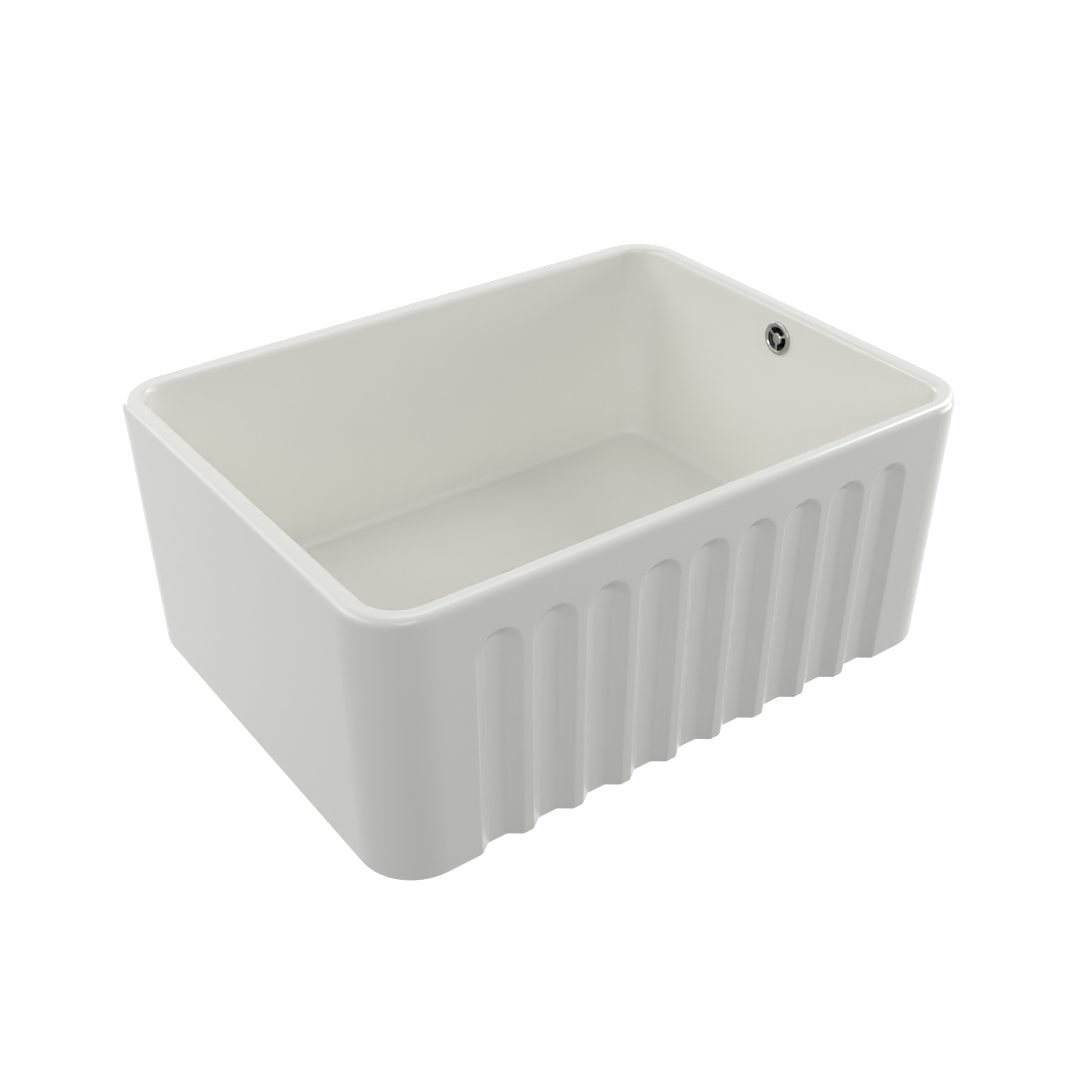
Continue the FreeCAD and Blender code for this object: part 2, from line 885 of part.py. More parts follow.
def spoke_side(angle, side):
    """Everything from the spoke at this angle outwards, which the slot leaves."""
    half = grille_spoke_width / 2
    reach = 3 * grille_slot_outer_radius
    space = box(
        inner_wall_x - reach,
        inner_wall_x + reach,
        -reach,
        reach,
        -half if side > 0 else -2 * reach,
        2 * reach if side > 0 else half,
    )
    space.rotate(Vec(0, 0, 0), Vec(1, 0, 0), angle)
    return space


def runs_along_x(edge):
    a, b = [v.Point for v in (edge.Vertexes[0], edge.Vertexes[-1])]
    level = abs(a.y - b.y) < same_place and abs(a.z - b.z) < same_place
    return level and abs(a.x - b.x) > same_place


def turned_x(corners, wall_x, z):
    """A solid turned about an X axis; each corner is (radius, distance into the bowl, rounding)."""
    solid = turned([(r, d, rounding) for r, d, rounding in corners])
    solid.rotate(Vec(0, 0, 0), Vec(0, 1, 0), -90)
    solid.translate(Vec(wall_x, 0, z))
    return solid


def make_grille():
    face = grille_thickness
    floor = face - grille_recess_depth
    plate = turned_x(
        [
            (0, 0, 0),
            (grille_back_pocket_inner, 0, 0),
            (grille_back_pocket_inner, front_seal_thickness, 0),
            (grille_back_pocket_outer, front_seal_thickness, 0),
            (grille_back_pocket_outer, 0, 0),
            (grille_radius, 0, 0),
            (grille_radius, face - grille_edge_drop, grille_edge_round),
            (grille_radius - grille_slope_width, face, fine_round),
            (grille_recess_radius + grille_recess_slope, face, hair_round),
            (grille_recess_radius, floor, hair_round),
            (grille_hub_radius + grille_hub_slope, floor, hair_round),
            (grille_hub_radius, floor + grille_hub_height, hair_round),
            (0, floor + grille_hub_height, 0),
        ],
        inner_wall_x,
        0.0,
    )
    plate = plate.cut(ring_of(kidney_slot, grille_spoke_count, 90.0))
    start = inner_wall_x - 2 * grille_thickness
    plate = plate.cut(along_x(screw_hole_radius, start, inner_wall_x + through_cut, 0.0))
    plate.translate(Vec(0, 0, overflow_height))
    return plate.cut(screw_sink())


def screw_head_x():
    hub_face = grille_thickness - grille_recess_depth + grille_hub_height
    return inner_wall_x - hub_face + screw_head_rest


def screw_cone():
    start = Vec(screw_head_x(), 0, overflow_height)
    return Part.makeCone(
        screw_sink_radius, screw_shank_radius, screw_sink_depth, start, Vec(1, 0, 0)
    )


def screw_sink():
    start = screw_head_x() - grille_thickness
    lead = along_x(screw_sink_radius, start, screw_head_x(), overflow_height)
    return screw_cone().fuse(lead)


def make_screw():
    head = screw_head_x()
    start = head + screw_sink_depth / 2
    shank = along_x(screw_shank_radius, start, head + screw_length, overflow_height)
    screw = screw_cone().fuse(shank)
    slot = box(
        head - through_cut,
        head + screw_slot_depth,
        -screw_sink_radius,
        screw_sink_radius,
        overflow_height - screw_slot_width / 2,
        overflow_height + screw_slot_width / 2,
    )
    cross = slot.copy()
    cross.rotate(Vec(0, 0, overflow_height), Vec(1, 0, 0), 90)
    reach = along_x(
        screw_slot_reach, head - through_cut, head + screw_slot_depth, overflow_height
    )
    return screw.cut(slot.fuse(cross).common(reach))


def make_front_seal():
    return tube_x(
        grille_back_pocket_outer,
        grille_back_pocket_inner,
        inner_wall_x - front_seal_thickness,
        inner_wall_x,
        overflow_height,
    )


def make_back_seal():
    return tube_x(
        back_seal_outer_radius,
        overflow_hole_radius + back_seal_inner_gap,
        half_width,
        elbow_seat_x,
        overflow_height,
    )


def make_elbow():
    z = overflow_height
    flange = along_x(elbow_flange_radius, elbow_seat_x, elbow_flange_end, z)
    nose = along_x(elbow_nose_radius, elbow_nose_x, elbow_flange_end, z)
    barrel = along_x(elbow_body_radius, elbow_seat_x, pipe_axis_x, z)
    knuckle = Part.makeSphere(elbow_body_radius, Vec(pipe_axis_x, 0, z))
    stem = upright(elbow_body_radius, elbow_bottom, z, pipe_axis_x)
    elbow = flange.fuse([nose, barrel, knuckle, stem])
    start = elbow_nose_x - through_cut
    nose_bore = along_x(elbow_nose_radius - elbow_nose_wall, start, elbow_flange_end, z)
    bore = along_x(elbow_bore_radius, start, pipe_axis_x, z)
    turn = Part.makeSphere(elbow_bore_radius, Vec(pipe_axis_x, 0, z))
    low = elbow_bottom - through_cut
    drop = upright(elbow_bore_radius, low, z, pipe_axis_x)
    socket = upright(socket_radius, low, elbow_bottom + socket_depth, pipe_axis_x)
    elbow = elbow.cut(nose_bore.fuse([bore, turn, drop, socket]))
    return elbow.fuse(elbow_web()).cut(insert_space())


def elbow_web():
    """Three spokes and a boss in the nose, which hold the threaded insert."""
    start = elbow_nose_x
    end = elbow_nose_x + elbow_web_length
    reach = elbow_nose_radius - elbow_nose_wall / 2
    half = elbow_web_thickness / 2

    def spoke(angle):
        bar = box(start, end, -half, half, -reach, 0)
        bar.rotate(Vec(0, 0, 0), Vec(1, 0, 0), angle)
        return bar

    web = along_x(screw_insert_radius + screw_insert_boss, start, end, 0.0)
    web = web.fuse(ring_of(spoke, elbow_web_count))
    web.translate(Vec(0, 0, overflow_height))
    return web


def insert_space():
    end = elbow_nose_x + elbow_web_length
    start = elbow_nose_x - through_cut
    return along_x(screw_insert_radius, start, end + through_cut, overflow_height)


def make_screw_insert():
    end = elbow_nose_x + elbow_web_length
    return tube_x(screw_insert_radius, screw_shank_radius, elbow_nose_x, end, overflow_height)


def make_overflow_pipe():
    bend_x = pipe_axis_x - pipe_bend_radius
    bend_z = pipe_axis_height + pipe_bend_radius
    start = Vec(pipe_start_x, 0, pipe_axis_height)
    bend_start = Vec(bend_x, 0, pipe_axis_height)
    bend_end = Vec(pipe_axis_x, 0, bend_z)
    reach = pipe_bend_radius * math.sqrt(0.5)
    bend_middle = Vec(bend_x + reach, 0, bend_z - reach)
    path = Part.Wire(
        [
            Part.makeLine(start, bend_start),
            Part.Arc(bend_start, bend_middle, bend_end).toShape(),
            Part.makeLine(bend_end, Vec(pipe_axis_x, 0, pipe_top)),
        ]
    )
    rods = []
    for radius in (pipe_outer_radius, pipe_inner_radius):
        ring = Part.Wire([Part.makeCircle(radius, start, Vec(1, 0, 0))])
        rods.append(path.makePipeShell([ring], True, False))
    return rods[0].cut(rods[1])


def pipe_nut():
    return grip_nut(
        pipe_nut_radius,
        pipe_nut_grip,
        elbow_body_radius + thread_gap,
        pipe_outer_radius + pipe_nut_clearance,
        pipe_nut_height,
        pipe_nut_lip,
    )


def make_elbow_nut():
    nut = pipe_nut()
    bottom = elbow_bottom - pipe_ring_thickness - pipe_nut_lip
    nut.translate(Vec(pipe_axis_x, 0, bottom))
    return nut


def make_waste_nut():
    nut = pipe_nut()
    nut.rotate(Vec(0, 0, 0), Vec(0, 1, 0), -90)
    end = spigot_end_radius + pipe_ring_thickness + pipe_nut_lip
    nut.translate(Vec(end, 0, pipe_axis_height))
    return nut


def make_elbow_ring():
    ring = tube(
        elbow_body_radius, pipe_outer_radius, elbow_bottom - pipe_ring_thickness, elbow_bottom
    )
    ring.translate(Vec(pipe_axis_x, 0, 0))
    return ring


def make_waste_ring():
    return tube_x(
        elbow_body_radius,
        pipe_outer_radius,
        spigot_end_radius,
        spigot_end_radius + pipe_ring_thickness,
        pipe_axis_height,
    )


pieces = {
    "sink_basin": make_basin,
    "strainer_cup": make_strainer_cup,
    "cup_seal": make_cup_seal,
    "clamp_bolt": make_clamp_bolt,
    "body_gasket": make_body_gasket,
    "waste_body": make_waste_body,
    "outlet_collar": make_outlet_collar,
    "bolt_insert": make_body_insert,
    "outlet_seal": make_outlet_seal,
    "outlet_nut": make_outlet_nut,
    "tailpiece": make_tailpiece,
    "strainer_basket": make_basket,
    "plug_post": make_post,
    "plug_ring": make_post_ring,
    "plug_knob": make_knob,
    "plug_stopper": make_stopper,
    "overflow_grille": make_grille,
    "overflow_screw": make_screw,
    "overflow_front_seal": make_front_seal,
    "overflow_back_seal": make_back_seal,
    "overflow_elbow": make_elbow,
    "screw_insert": make_screw_insert,
    "elbow_nut": make_elbow_nut,
    "elbow_ring": make_elbow_ring,
    "overflow_pipe": make_overflow_pipe,
    "waste_nut": make_waste_nut,
    "waste_ring": make_waste_ring,
}

os.makedirs("parts", exist_ok=True)
for node, make in pieces.items():
    shape = make()
    shape.exportStep("parts/" + node + ".step")
    box_of = shape.BoundBox
    print(
        f"{node}: {len(shape.Solids)} solid, valid {shape.isValid()}, volume {shape.Volume:.0f}, "
        f"x {box_of.XMin:.1f}..{box_of.XMax:.1f}, y {box_of.YMin:.1f}..{box_of.YMax:.1f}, "
        f"z {box_of.ZMin:.1f}..{box_of.ZMax:.1f}"
    )
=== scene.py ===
import json
import math

import bpy
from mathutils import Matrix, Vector


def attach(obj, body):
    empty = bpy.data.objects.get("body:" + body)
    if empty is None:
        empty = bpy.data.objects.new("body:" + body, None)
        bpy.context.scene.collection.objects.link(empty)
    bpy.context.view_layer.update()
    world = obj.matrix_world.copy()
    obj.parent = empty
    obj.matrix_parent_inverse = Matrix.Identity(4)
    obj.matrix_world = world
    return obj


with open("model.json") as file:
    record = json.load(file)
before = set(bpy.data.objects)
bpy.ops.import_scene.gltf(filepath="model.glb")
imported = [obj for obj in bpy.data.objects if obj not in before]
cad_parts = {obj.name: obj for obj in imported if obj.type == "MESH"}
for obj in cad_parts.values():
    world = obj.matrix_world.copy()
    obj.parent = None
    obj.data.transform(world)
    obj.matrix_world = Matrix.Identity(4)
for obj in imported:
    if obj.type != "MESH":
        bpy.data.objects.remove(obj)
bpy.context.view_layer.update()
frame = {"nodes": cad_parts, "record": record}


# The viewpoint, above and to the left of the front

viewPoint = {
    "place": (-0.65979, -0.90787, 0.81320),
    "tilt": 51.57,
    "turn": -35.98,
    "lens": 47.30,
    "sensor": 36.0,
    "shiftY": 0.1373,
    "nearest": 0.05,
    "farthest": 40.0,
}


def makeCamera(view):
    data = bpy.data.cameras.new("viewCamera")
    data.sensor_width = view["sensor"]
    data.lens = view["lens"]
    data.shift_y = view["shiftY"]
    data.clip_start = view["nearest"]
    data.clip_end = view["farthest"]
    camera = bpy.data.objects.new("viewCamera", data)
    camera.location = view["place"]
    camera.rotation_euler = (math.radians(view["tilt"]), 0.0, math.radians(view["turn"]))
    bpy.context.scene.collection.objects.link(camera)
    bpy.context.scene.camera = camera


makeCamera(viewPoint)
bpy.context.scene.view_settings.view_transform = "Standard"
print("camera placed")


# Small helpers for node trees

def addNode(tree, kind, place, **settings):
    node = tree.nodes.new(kind)
    node.location = place
    for name, value in settings.items():
        setattr(node, name, value)
    return node


def feed(tree, value, socket):
    if isinstance(value, bpy.types.NodeSocket):
        tree.links.new(value, socket)
    else:
        socket.default_value = value


# SQRT and ABSOLUTE take one number, and leave the second unused
def calc(tree, operation, first, second, place):
    node = addNode(tree, "ShaderNodeMath", place, operation=operation)
    feed(tree, first, node.inputs[0])
    feed(tree, second, node.inputs[1])
    return node.outputs[0]


def noise(tree, place, where, scale, detail):
    node = addNode(tree, "ShaderNodeTexNoise", place)
    feed(tree, where, node.inputs["Vector"])
    feed(tree, scale, node.inputs["Scale"])
    node.inputs["Detail"].default_value = detail
    return node.outputs["Fac"]


def spread(tree, value, fromPair, toPair, place):
    node = addNode(tree, "ShaderNodeMapRange", place)
    feed(tree, value, node.inputs["Value"])
    node.inputs["From Min"].default_value = fromPair[0]
    node.inputs["From Max"].default_value = fromPair[1]
    node.inputs["To Min"].default_value = toPair[0]
    node.inputs["To Max"].default_value = toPair[1]
    return node.outputs["Result"]


noiseSpan = (0.3, 0.7)  # most of a noise texture's values lie in here


# Left unclamped, so that no patch gets an edge
def overNoise(tree, value, toPair, place):
    level = spread(tree, value, noiseSpan, toPair, place)
    level.node.clamp = False
    return level


def splitPlace(tree, where, place):
    parts = addNode(tree, "ShaderNodeSeparateXYZ", place)
    feed(tree, where, parts.inputs[0])
    return parts.outputs


def blendTones(tree, amount, first, second, place):
    node = addNode(tree, "ShaderNodeMix", place, data_type="RGBA")
    feed(tree, amount, node.inputs[0])  # the factor, then colours A and B on 6 and 7
    feed(tree, first, node.inputs[6])
    feed(tree, second, node.inputs[7])
    return node.outputs[2]


def newMaterial(name):
    material = bpy.data.materials.new(name)
    material.use_nodes = True
    return material, material.node_tree, material.node_tree.nodes["Principled BSDF"]


# Studio: a pale floor, a white surround and a ring of soft lamps

studio = {
    "floorHeight": -0.156,
    "floorReach": 7.0,
    "floorColour": (0.35, 0.35, 0.35, 1.0),
    "floorRoughness": 0.9,
    "white": (1.0, 1.0, 1.0, 1.0),
    "whiteLift": 0.95,  # the glow that only the camera, gloss and glass see
    "surroundLight": 0.085,
}

lampRing = {
    "distance": 2.6,
    "aimHeight": 0.1,
    "size": 1.2,
    "colour": (0.985, 0.985, 1.0),
    "lamps": {  # degrees round from the front, degrees up, watts
        "leftBackMidLamp": (-150, 35, 7.6),
        "leftSideBackLamp": (-120, 35, 13.6),
        "leftSideLamp": (-90, 35, 8.5),
        "frontMidLamp": (-20, 35, 18.4),
        "rightFrontLowLamp": (65, 8, 20.2),
        "rightSideLowLamp": (95, 8, 2.6),
        "rightSideMidLamp": (95, 35, 22.0),
        "backLowLamp": (180, 8, 17.1),
        "rightBackHighLamp": (135, 65, 8.5),
    },
}


# 1 for what the camera sees, directly, in a gloss or through glass
def seenDirectly(tree):
    rays = addNode(tree, "ShaderNodeLightPath", (-1100, -200)).outputs
    glossy, through = rays["Is Glossy Ray"], rays["Is Transmission Ray"]
    mirrored = calc(tree, "MAXIMUM", glossy, through, (-850, -300))
    return calc(tree, "MAXIMUM", rays["Is Camera Ray"], mirrored, (-650, -200))


def makeFloor(settings):
    reach = settings["floorReach"]
    height = settings["floorHeight"]
    mesh = bpy.data.meshes.new("studioFloor")
    corners = [(x * reach, y * reach, height) for x, y in ((-1, -1), (1, -1), (1, 1), (-1, 1))]
    mesh.from_pydata(corners, [], [(0, 1, 2, 3)])
    floor = bpy.data.objects.new("studioFloor", mesh)
    bpy.context.scene.collection.objects.link(floor)
    material, tree, shader = newMaterial("floorPaper")
    shader.inputs["Base Color"].default_value = settings["floorColour"]
    shader.inputs["Roughness"].default_value = settings["floorRoughness"]
    shader.inputs["Specular IOR Level"].default_value = 0.0
    shader.inputs["Emission Color"].default_value = settings["white"]
    lift = calc(tree, "MULTIPLY", seenDirectly(tree), settings["whiteLift"], (-400, -200))
    feed(tree, lift, shader.inputs["Emission Strength"])
    mesh.materials.append(material)


def makeSurround(settings):
    world = bpy.data.worlds.new("studioSurround")
    world.use_nodes = True
    bpy.context.scene.world = world
    tree = world.node_tree
    shade = tree.nodes["Background"]
    shade.inputs["Color"].default_value = settings["white"]
    strengths = (settings["surroundLight"], 1.0)
    level = spread(tree, seenDirectly(tree), (0.0, 1.0), strengths, (-300, 0))
    feed(tree, level, shade.inputs["Strength"])


def makeLamp(name, ring, turn, rise, power):
    data = bpy.data.lights.new(name, "AREA")
    data.shape = "SQUARE"
    data.size = ring["size"]
    data.energy = power
    data.color = ring["colour"]
    lamp = bpy.data.objects.new(name, data)
    turnAngle, riseAngle = math.radians(turn), math.radians(rise)
    across = ring["distance"] * math.cos(riseAngle)
    up = ring["distance"] * math.sin(riseAngle)
    outward = Vector((math.sin(turnAngle) * across, -math.cos(turnAngle) * across, up))
    lamp.location = outward + Vector((0.0, 0.0, ring["aimHeight"]))
    lamp.rotation_euler = (-outward).to_track_quat("-Z", "Y").to_euler()
    bpy.context.scene.collection.objects.link(lamp)


makeFloor(studio)
makeSurround(studio)
for lampName, (turn, rise, power) in lampRing["lamps"].items():
    makeLamp(lampName, lampRing, turn, rise, power)
print("studio set up with", len(lampRing["lamps"]), "lamps")


# Effects that several finishes share

ringPattern = {"perMetre": 2500.0, "roundTheAxis": 0.4, "detail": 3.0}

handlingPattern = {
    "patchScale": 60.0, "patchDetail": 4.0,
    "scratchScale": 900.0, "scratchDetail": 2.0, "scratchBand": (0.64, 0.72),
    "scratchTurn": (0.4, 0.9, 0.7), "scratchStretch": (1.0, 0.03, 0.6),
}

skinPattern = {"grainScale": 1800.0, "grainDetail": 2.0, "flowScale": 35.0, "flowDetail": 3.0}


def newGroup(name, inputs, outputs):
    group = bpy.data.node_groups.new(name, "ShaderNodeTree")
    for label, value in inputs.items():
        socket = group.interface.new_socket(label, in_out="INPUT", socket_type="NodeSocketFloat")
        socket.default_value = value
    for label in outputs:
        group.interface.new_socket(label, in_out="OUTPUT", socket_type="NodeSocketFloat")
    start = addNode(group, "NodeGroupInput", (-1500, 0))
    end = addNode(group, "NodeGroupOutput", (700, 0))
    where = addNode(group, "ShaderNodeTexCoord", (-1500, -300)).outputs["Object"]
    return group, start, end, where


# Each of the group's inputs takes the value of its name
def useGroup(tree, group, place, values):
    node = addNode(tree, "ShaderNodeGroup", place, node_tree=group)
    for socket in node.inputs:
        socket.default_value = values[socket.name]
    return node


# Fine rings that pressing and turning leave round the upright axis
def makeTurnedRings(pattern):
    scales = {"perMetre": pattern["perMetre"]}
    group, start, end, where = newGroup("turnedRings", scales, ["rings"])
    perMetre = start.outputs["perMetre"]
    x, y, z = splitPlace(group, where, (-1300, -300))
    xSquare = calc(group, "MULTIPLY", x, x, (-1100, -200))
    ySquare = calc(group, "MULTIPLY", y, y, (-1100, -350))
    squares = calc(group, "ADD", xSquare, ySquare, (-900, -250))
    radius = calc(group, "SQRT", squares, 0.0, (-700, -250))
    across = calc(group, "MULTIPLY", radius, perMetre, (-500, -200))
    along = calc(group, "MULTIPLY", z, perMetre, (-500, -350))
    angle = calc(group, "ARCTAN2", y, x, (-900, -450))
    aside = calc(group, "MULTIPLY", angle, pattern["roundTheAxis"], (-500, -500))
    spot = addNode(group, "ShaderNodeCombineXYZ", (-250, -300))
    for value, socket in zip((across, aside, along), spot.inputs):
        feed(group, value, socket)
    rings = noise(group, (0, -200), spot.outputs[0], 1.0, pattern["detail"])
    feed(group, rings, end.inputs["rings"])
    return group


# Uneven patches and the hair scratches of handling
def makeHandling(pattern):
    scales = {label: pattern[label] for label in ("patchScale", "scratchScale")}
    group, start, end, where = newGroup("handlingMarks", scales, ["patches", "scratches"])
    patchScale, scratchScale = start.outputs["patchScale"], start.outputs["scratchScale"]
    patches = noise(group, (-800, 150), where, patchScale, pattern["patchDetail"])
    feed(group, patches, end.inputs["patches"])
    stretch = addNode(group, "ShaderNodeMapping", (-1200, -300))
    stretch.inputs["Rotation"].default_value = pattern["scratchTurn"]
    stretch.inputs["Scale"].default_value = pattern["scratchStretch"]
    feed(group, where, stretch.inputs["Vector"])
    hairs = noise(group, (-800, -250), stretch.outputs[0], scratchScale, pattern["scratchDetail"])
    scratches = spread(group, hairs, pattern["scratchBand"], (0.0, 1.0), (-500, -250))
    feed(group, scratches, end.inputs["scratches"])
    return group


# The fine skin of moulded plastic and rubber, and the slow swirl of its flow
def makeMouldSkin(pattern):
    scales = {label: pattern[label] for label in ("grainScale", "flowScale")}
    group, start, end, where = newGroup("mouldSkin", scales, ["grain", "flow"])
    for label, height in (("grain", 100), ("flow", -250)):
        scale = start.outputs[label + "Scale"]
        skin = noise(group, (-800, height), where, scale, pattern[label + "Detail"])
        feed(group, skin, end.inputs[label])
    return group


turnedRings = makeTurnedRings(ringPattern)
handlingMarks = makeHandling(handlingPattern)
mouldSkin = makeMouldSkin(skinPattern)


# Roughness that follows the wiped patches, and rises on the hair scratches
def addHandledGloss(tree, shader, marks, look, scratchGloss):
    gloss = overNoise(tree, marks.outputs["patches"], look["roughness"], (-900, -100))
    hair = calc(tree, "MULTIPLY", marks.outputs["scratches"], scratchGloss, (-900, -350))
    feed(tree, calc(tree, "ADD", gloss, hair, (-600, -100)), shader.inputs["Roughness"])


def addBump(tree, shader, height, depth, place):
    bump = addNode(tree, "ShaderNodeBump", place)
    bump.inputs["Distance"].default_value = depth
    feed(tree, height, bump.inputs["Height"])
    feed(tree, bump.outputs["Normal"], shader.inputs["Normal"])


# White glaze over fireclay, left off the foot and the hollow of the underside

glazeLook = {
    "colour": (0.902, 0.900, 0.853, 1.0),
    "pooledColour": (0.893, 0.892, 0.842, 1.0),
    "clayColour": (0.62, 0.55, 0.45, 1.0),
    "clayDark": (0.50, 0.43, 0.34, 1.0),
    "roughness": (0.165, 0.175),
    "clayRoughness": 0.6,  # added to the glaze's
    "poolScale": 6.0, "poolDetail": 3.0,
    "rippleScale": 26.0, "rippleDetail": 2.0, "rippleDepth": 0.00008,
    "gritScale": 420.0, "gritDetail": 5.0,
    "gritOnClay": 2.5, "gritUnderGlaze": 0.02,  # heights, as shares of the ripple's
    "speckScale": 42.0, "speckReach": (0.012, 0.022), "speckStrength": 0.30,
    "bareReach": (0.268, 0.1905, 0.0125),  # half the hollow's length and width, and its top
    "bareFoot": 0.0014, "footWaverScale": 60.0, "footWaverDetail": 2.0,
    "ior": 1.5,
}


# 1 on the foot and in the hollow of the underside, 0 on the glaze
def bareClay(tree, where, look):
    x, y, z = splitPlace(tree, where, (-2000, -700))
    waver = noise(tree, (-2000, -950), where, look["footWaverScale"], look["footWaverDetail"])
    edge = calc(tree, "MULTIPLY", waver, look["bareFoot"], (-1800, -950))
    foot = calc(tree, "LESS_THAN", z, edge, (-1600, -950))
    reachX, reachY, reachZ = look["bareReach"]
    offX = calc(tree, "ABSOLUTE", x, 0.0, (-1800, -550))
    offY = calc(tree, "ABSOLUTE", y, 0.0, (-1800, -680))
    withinX = calc(tree, "LESS_THAN", offX, reachX, (-1600, -550))
    withinY = calc(tree, "LESS_THAN", offY, reachY, (-1600, -680))
    withinZ = calc(tree, "LESS_THAN", z, reachZ, (-1600, -810))
    across = calc(tree, "MULTIPLY", withinX, withinY, (-1400, -600))
    hollow = calc(tree, "MULTIPLY", across, withinZ, (-1200, -700))
    return calc(tree, "MAXIMUM", foot, hollow, (-1000, -800))


def makeGlaze(look):
    material, tree, shader = newMaterial("firedGlaze")
    where = addNode(tree, "ShaderNodeTexCoord", (-2300, 0)).outputs["Object"]
    pool = noise(tree, (-1500, 350), where, look["poolScale"], look["poolDetail"])
    glaze = blendTones(tree, pool, look["colour"], look["pooledColour"], (-1200, 350))
    specks = addNode(tree, "ShaderNodeTexVoronoi", (-1500, 100))
    specks.inputs["Scale"].default_value = look["speckScale"]
    feed(tree, where, specks.inputs["Vector"])
    strengths = (look["speckStrength"], 0.0)
    speck = spread(tree, specks.outputs["Distance"], look["speckReach"], strengths, (-1200, 100))
    glaze = blendTones(tree, speck, glaze, look["clayColour"], (-900, 300))

    grit = noise(tree, (-1500, -250), where, look["gritScale"], look["gritDetail"])
    clay = blendTones(tree, grit, look["clayDark"], look["clayColour"], (-1200, -200))
    bare = bareClay(tree, where, look)
    feed(tree, blendTones(tree, bare, glaze, clay, (-500, 300)), shader.inputs["Base Color"])

    gloss = overNoise(tree, pool, look["roughness"], (-900, 50))
    matt = calc(tree, "MULTIPLY", bare, look["clayRoughness"], (-700, -50))
    feed(tree, calc(tree, "ADD", gloss, matt, (-500, 0)), shader.inputs["Roughness"])

    ripple = noise(tree, (-900, -350), where, look["rippleScale"], look["rippleDetail"])
    bareGrit = calc(tree, "MULTIPLY", grit, bare, (-800, -550))
    clayGrit = calc(tree, "MULTIPLY", bareGrit, look["gritOnClay"], (-650, -550))
    peel = calc(tree, "MULTIPLY", grit, look["gritUnderGlaze"], (-650, -700))
    uneven = calc(tree, "ADD", ripple, clayGrit, (-450, -450))
    height = calc(tree, "ADD", uneven, peel, (-300, -500))
    addBump(tree, shader, height, look["rippleDepth"], (-150, -400))
    shader.inputs["IOR"].default_value = look["ior"]
    return material


# Metals

metalMarks = {"patchScale": 45.0, "scratchScale": 700.0, "scratchGloss": 0.08, "ringTone": 0.3}

metalLooks = {
    "pressed_steel": {
        "bright": (0.66, 0.655, 0.64, 1.0), "dull": (0.54, 0.535, 0.525, 1.0),
        "roughness": (0.22, 0.34), "perMetre": 2600.0, "ringDepth": 0.00003,
    },
    "bolt_steel": {
        "bright": (0.50, 0.50, 0.49, 1.0), "dull": (0.38, 0.38, 0.375, 1.0),
        "roughness": (0.28, 0.42), "perMetre": 1900.0, "ringDepth": 0.00003,
    },
    "insert_brass": {
        "bright": (0.74, 0.56, 0.27, 1.0), "dull": (0.50, 0.36, 0.17, 1.0),
        "roughness": (0.25, 0.40), "perMetre": 1500.0, "ringDepth": 0.00003,
    },
}


def makeMetal(name, look):
    material, tree, shader = newMaterial(name)
    marks = useGroup(tree, handlingMarks, (-1200, 200), metalMarks)
    rings = useGroup(tree, turnedRings, (-1200, -200), look).outputs["rings"]
    tone = blendTones(tree, marks.outputs["patches"], look["bright"], look["dull"], (-900, 300))
    faint = calc(tree, "MULTIPLY", rings, metalMarks["ringTone"], (-900, 50))
    ringed = blendTones(tree, faint, tone, look["dull"], (-600, 250))
    feed(tree, ringed, shader.inputs["Base Color"])
    addHandledGloss(tree, shader, marks, look, metalMarks["scratchGloss"])
    addBump(tree, shader, rings, look["ringDepth"], (-600, -350))
    shader.inputs["Metallic"].default_value = 1.0
    return material


# Chrome has no rings: only a haze of wiping and a few hair scratches

chromeLook = {
    "bright": (0.52, 0.52, 0.505, 1.0),
    "hazed": (0.43, 0.43, 0.418, 1.0),
    "roughness": (0.09, 0.17),
    "patchScale": 160.0,
    "scratchScale": 1100.0,
    "scratchGloss": 0.10,
    "rippleDepth": 0.00002,
}


def makeChrome(look):
    material, tree, shader = newMaterial("polishedChrome")
    marks = useGroup(tree, handlingMarks, (-1200, 200), look)
    patches = marks.outputs["patches"]
    tone = blendTones(tree, patches, look["bright"], look["hazed"], (-700, 300))
    feed(tree, tone, shader.inputs["Base Color"])
    addHandledGloss(tree, shader, marks, look, look["scratchGloss"])
    addBump(tree, shader, patches, look["rippleDepth"], (-600, -400))
    shader.inputs["Metallic"].default_value = 1.0
    return material


# Moulded plastics and rubbers

mouldedMarks = {"patchScale": 80.0, "scratchScale": 500.0, "scuffShare": 0.5}

mouldedLooks = {
    "waste_plastic": {
        "colour": (0.018, 0.018, 0.020, 1.0), "swirl": (0.030, 0.030, 0.032, 1.0),
        "scuff": (0.075, 0.075, 0.078, 1.0), "roughness": (0.36, 0.50), "grainDepth": 0.00003,
    },
    "nut_plastic": {
        "colour": (0.045, 0.046, 0.050, 1.0), "swirl": (0.065, 0.066, 0.070, 1.0),
        "scuff": (0.13, 0.13, 0.135, 1.0), "roughness": (0.34, 0.46), "grainDepth": 0.00003,
    },
    "pipe_plastic": {
        "colour": (0.30, 0.31, 0.32, 1.0), "swirl": (0.36, 0.37, 0.38, 1.0),
        "scuff": (0.50, 0.50, 0.51, 1.0), "roughness": (0.30, 0.42), "grainDepth": 0.00002,
    },
    "seal_rubber": {
        "colour": (0.020, 0.020, 0.020, 1.0), "swirl": (0.035, 0.034, 0.033, 1.0),
        "scuff": (0.08, 0.08, 0.078, 1.0), "roughness": (0.60, 0.75), "grainDepth": 0.00004,
    },
    "stopper_rubber": {
        "colour": (0.035, 0.035, 0.036, 1.0), "swirl": (0.055, 0.054, 0.052, 1.0),
        "scuff": (0.11, 0.11, 0.108, 1.0), "roughness": (0.50, 0.65), "grainDepth": 0.00004,
    },
}


